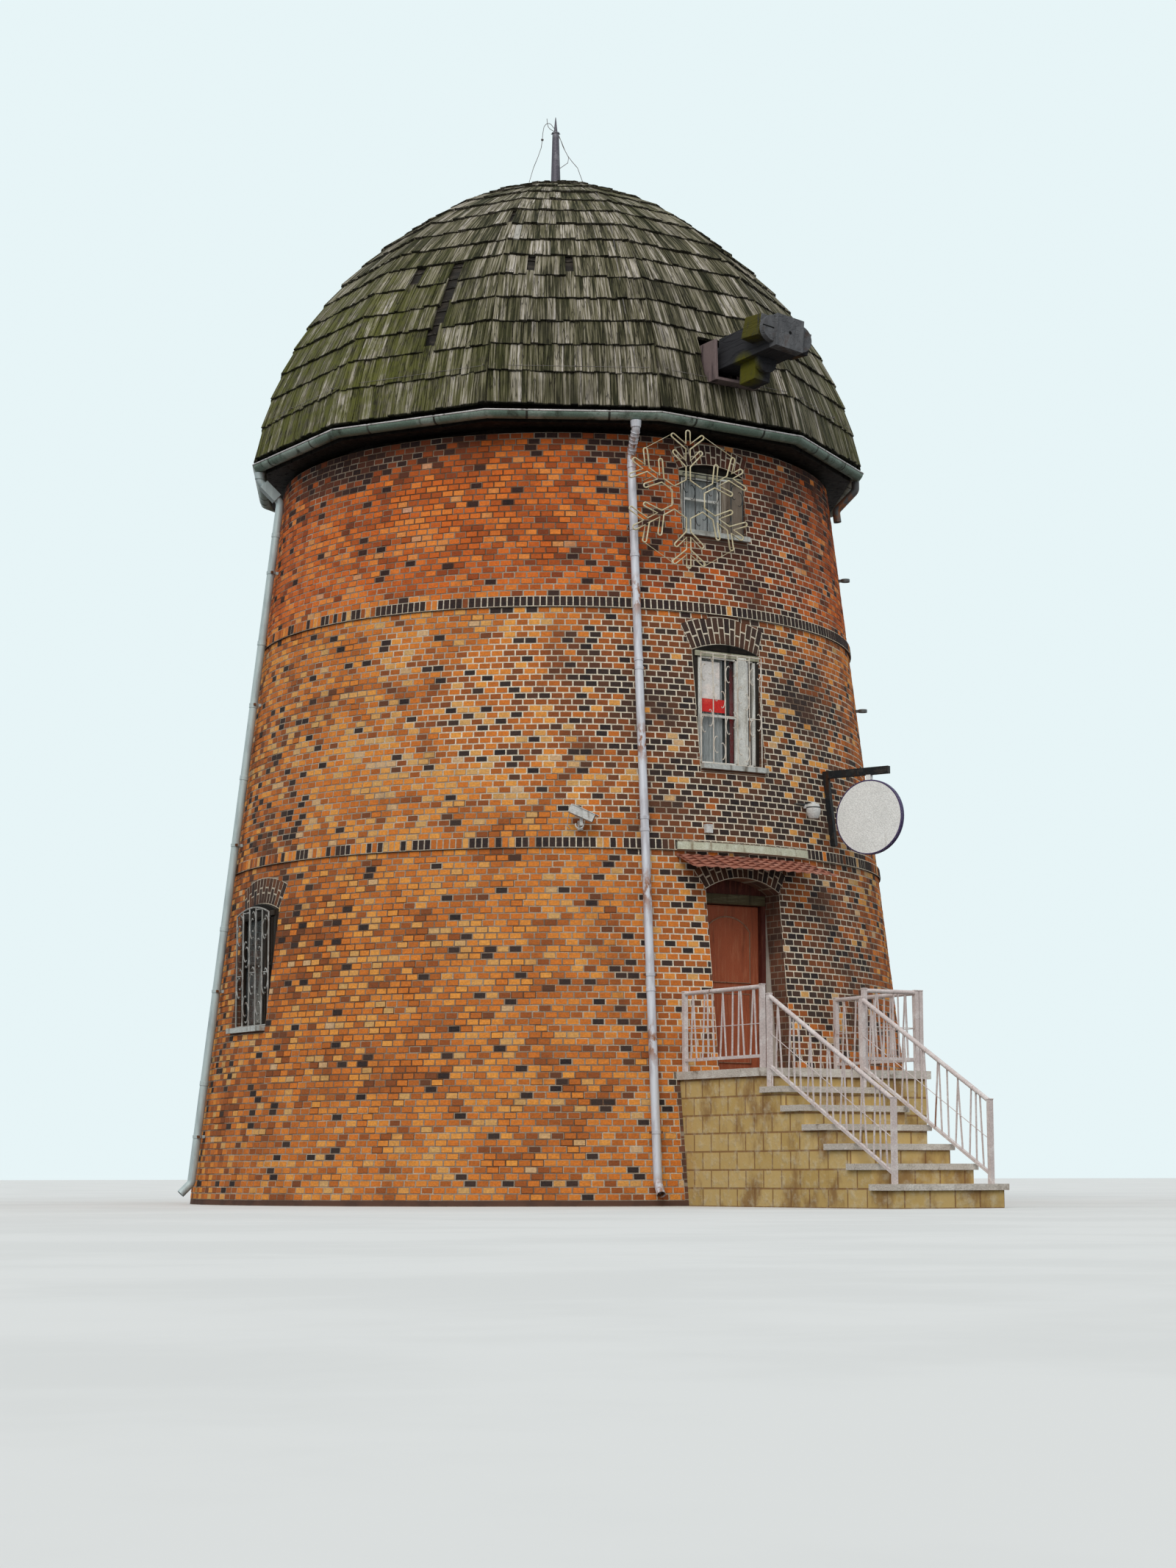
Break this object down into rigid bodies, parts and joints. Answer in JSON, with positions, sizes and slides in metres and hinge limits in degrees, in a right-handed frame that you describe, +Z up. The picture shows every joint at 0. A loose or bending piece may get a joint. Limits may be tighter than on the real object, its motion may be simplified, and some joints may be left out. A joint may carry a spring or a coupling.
{
  "type": "tower windmill without sails",
  "caption": "Round brick tower mill with a faceted shingled dome, a gutter, a cut-off windshaft, arched windows, an entrance landing with steps and a door that opens.",
  "frame": {"origin": "tower axis at ground level, at the middle of the tower's flat base", "axes": "+Z up, -Y out of the door"},
  "size_m": [9.2907, 12.8258, 14.347],
  "materials": {
    "brick": "weathered brick with pale joints",
    "slab": "rough",
    "floor_boards": "worn boards",
    "cap_timber": "dark weathered timber",
    "shingles": "weathered shingles with moss",
    "finial": "dull",
    "gutter": "galvanised, dull",
    "pipe": "worn pale paint",
    "shaft_wood": "old dark timber",
    "window_paint": "white paint",
    "glass": "clear",
    "sill": "dull pale sheet",
    "frame_wood": "dark greenish brown",
    "door_wood": "satin reddish brown",
    "canopy_sheet": "brown maroon",
    "flashing": "dull grey sheet",
    "ochre_masonry": "ochre stone cladding",
    "stone": "pale worn stone",
    "railing": "pale paint",
    "sign_face": "white with a dark rim",
    "bracket": "dark paint",
    "fittings": "pale housing",
    "rope_light": "cream translucent tube"
  },
  "bodies": {
    "building": {"ground_wall_front_left": "brick", "ground_wall_front_right": "brick", "doorway_wall": "brick", "ground_wall_right": "brick", "ground_wall_back": "brick", "ground_wall_left": "brick", "middle_wall_front": "brick", "middle_wall_right": "brick", "middle_wall_back": "brick", "middle_wall_left": "brick", "upper_wall_front": "brick", "upper_wall_right": "brick", "upper_wall_back": "brick", "upper_wall_left": "brick", "base_slab": "slab", "storey_floors": "floor_boards", "wall_plate": "cap_timber", "cap_ring": "cap_timber", "roof_front": "shingles", "roof_right": "shingles", "roof_back": "shingles", "roof_left": "shingles", "finial": "finial", "gutter": "gutter", "downpipes": "pipe", "shaft_bearing": "shaft_wood", "shaft_boards": "shaft_wood", "window_frames": "window_paint", "window_glass": "glass", "window_sills": "sill", "door_frame": "frame_wood", "canopy": "canopy_sheet", "flashing": "flashing", "entrance_masonry": "ochre_masonry", "landing_slab": "stone", "stair_treads": "stone", "landing_rails": "railing", "stair_rails": "railing", "round_sign": "sign_face", "sign_bracket": "bracket", "wall_fittings": "fittings", "star_light": "rope_light"},
    "leaf": {"door_leaf": "door_wood"},
    "shaft": {"windshaft": "shaft_wood"}
  },
  "joints": [
    {"name": "door", "type": "hinge", "parent": "building", "child": "leaf", "pos_m": [-0.456, -3.75885, 0], "axis": [0, 0, 1], "range_deg": [0, 90]},
    {"name": "windshaft_turn", "type": "hinge", "parent": "building", "child": "shaft", "pos_m": [0.14447, -3.44697, 10.10289], "axis": [0.0418, -0.9984, 0.0384], "continuous": true}
  ]
}
